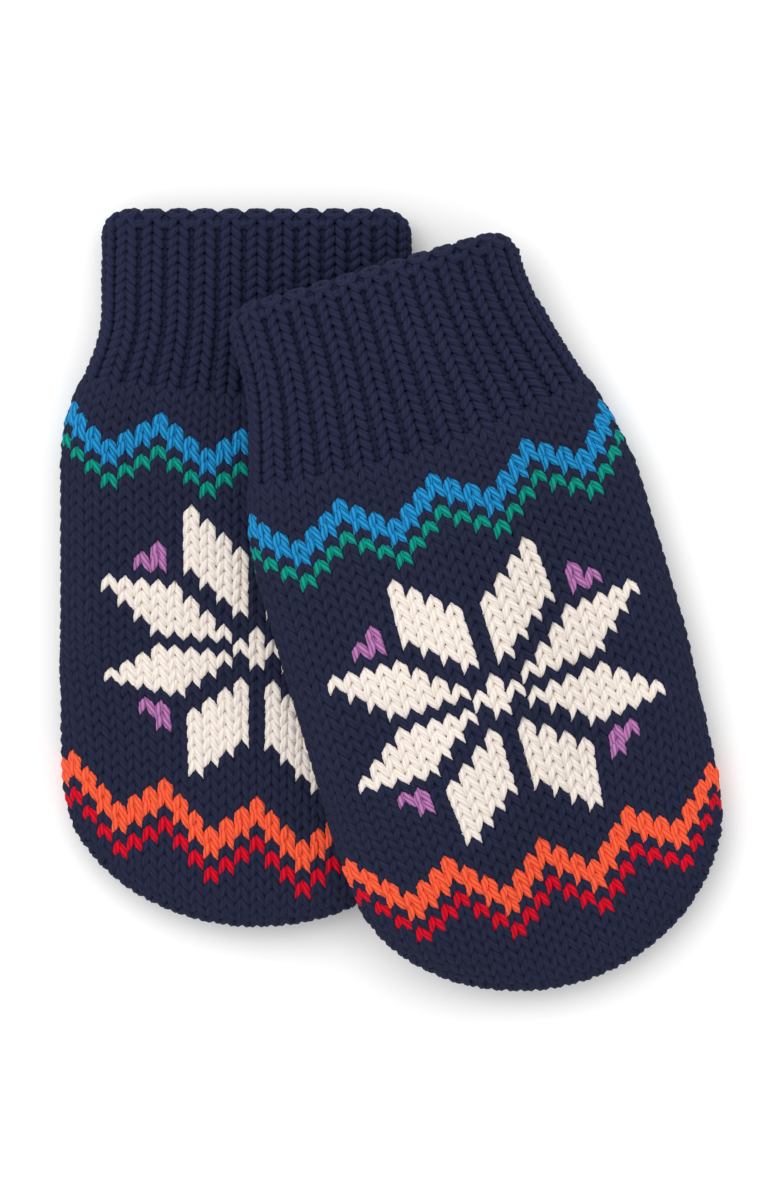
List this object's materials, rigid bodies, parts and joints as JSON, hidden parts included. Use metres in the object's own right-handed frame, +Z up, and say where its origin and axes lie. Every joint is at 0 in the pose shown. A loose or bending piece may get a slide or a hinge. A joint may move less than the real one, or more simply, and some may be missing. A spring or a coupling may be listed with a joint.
{
  "type": "knitted mittens",
  "caption": "Pair of thumbless baby mittens with ribbed cuffs, zigzag bands and a snowflake, one laid across the other.",
  "frame": {"origin": "middle of the pair's outer box at table height", "axes": "+Z up from the table, +Y towards the cuffs along the left mitten, +X towards the right mitten"},
  "size_m": [0.1254, 0.1484, 0.0243],
  "materials": {
    "navy_yarn": "matt plied cotton, stocking stitch",
    "navy_rib_yarn": "matt plied cotton, one-by-one rib",
    "seam_thread": "overlocked seam allowance",
    "sky_blue_yarn": "matt plied cotton with a soft sheen",
    "green_yarn": "matt plied cotton with a soft sheen",
    "orange_yarn": "matt plied cotton with a soft sheen",
    "red_yarn": "matt plied cotton with a soft sheen",
    "cream_yarn": "matt plied cotton with a soft sheen",
    "purple_yarn": "matt plied cotton with a soft sheen"
  },
  "bodies": {
    "left_mitten": {"left_cuff_front": "navy_rib_yarn", "left_cuff_back": "navy_rib_yarn", "left_hand_front": "navy_yarn", "left_hand_back": "navy_yarn", "left_side_seam": "seam_thread", "left_blue_zigzag_front": "sky_blue_yarn", "left_blue_zigzag_back": "sky_blue_yarn", "left_green_zigzag_front": "green_yarn", "left_green_zigzag_back": "green_yarn", "left_orange_zigzag_front": "orange_yarn", "left_orange_zigzag_back": "orange_yarn", "left_red_zigzag_front": "red_yarn", "left_red_zigzag_back": "red_yarn", "left_snowflake_centre": "cream_yarn", "left_snowflake_petal_1": "cream_yarn", "left_snowflake_petal_2": "cream_yarn", "left_snowflake_petal_3": "cream_yarn", "left_snowflake_petal_4": "cream_yarn", "left_snowflake_petal_5": "cream_yarn", "left_snowflake_petal_6": "cream_yarn", "left_snowflake_petal_7": "cream_yarn", "left_snowflake_petal_8": "cream_yarn", "left_purple_accent_1": "purple_yarn", "left_purple_accent_2": "purple_yarn", "left_purple_accent_3": "purple_yarn", "left_purple_accent_4": "purple_yarn"},
    "right_mitten": {"right_cuff_front": "navy_rib_yarn", "right_cuff_back": "navy_rib_yarn", "right_hand_front": "navy_yarn", "right_hand_back": "navy_yarn", "right_side_seam": "seam_thread", "right_blue_zigzag_front": "sky_blue_yarn", "right_blue_zigzag_back": "sky_blue_yarn", "right_green_zigzag_front": "green_yarn", "right_green_zigzag_back": "green_yarn", "right_orange_zigzag_front": "orange_yarn", "right_orange_zigzag_back": "orange_yarn", "right_red_zigzag_front": "red_yarn", "right_red_zigzag_back": "red_yarn", "right_snowflake_centre": "cream_yarn", "right_snowflake_petal_1": "cream_yarn", "right_snowflake_petal_2": "cream_yarn", "right_snowflake_petal_3": "cream_yarn", "right_snowflake_petal_4": "cream_yarn", "right_snowflake_petal_5": "cream_yarn", "right_snowflake_petal_6": "cream_yarn", "right_snowflake_petal_7": "cream_yarn", "right_snowflake_petal_8": "cream_yarn", "right_purple_accent_1": "purple_yarn", "right_purple_accent_2": "purple_yarn", "right_purple_accent_3": "purple_yarn", "right_purple_accent_4": "purple_yarn"}
  },
  "joints": [
    {"name": "right_mitten_lift", "type": "slide", "parent": "left_mitten", "child": "right_mitten", "axis": [0, 0, 1], "range_m": [0, 0.06]}
  ]
}
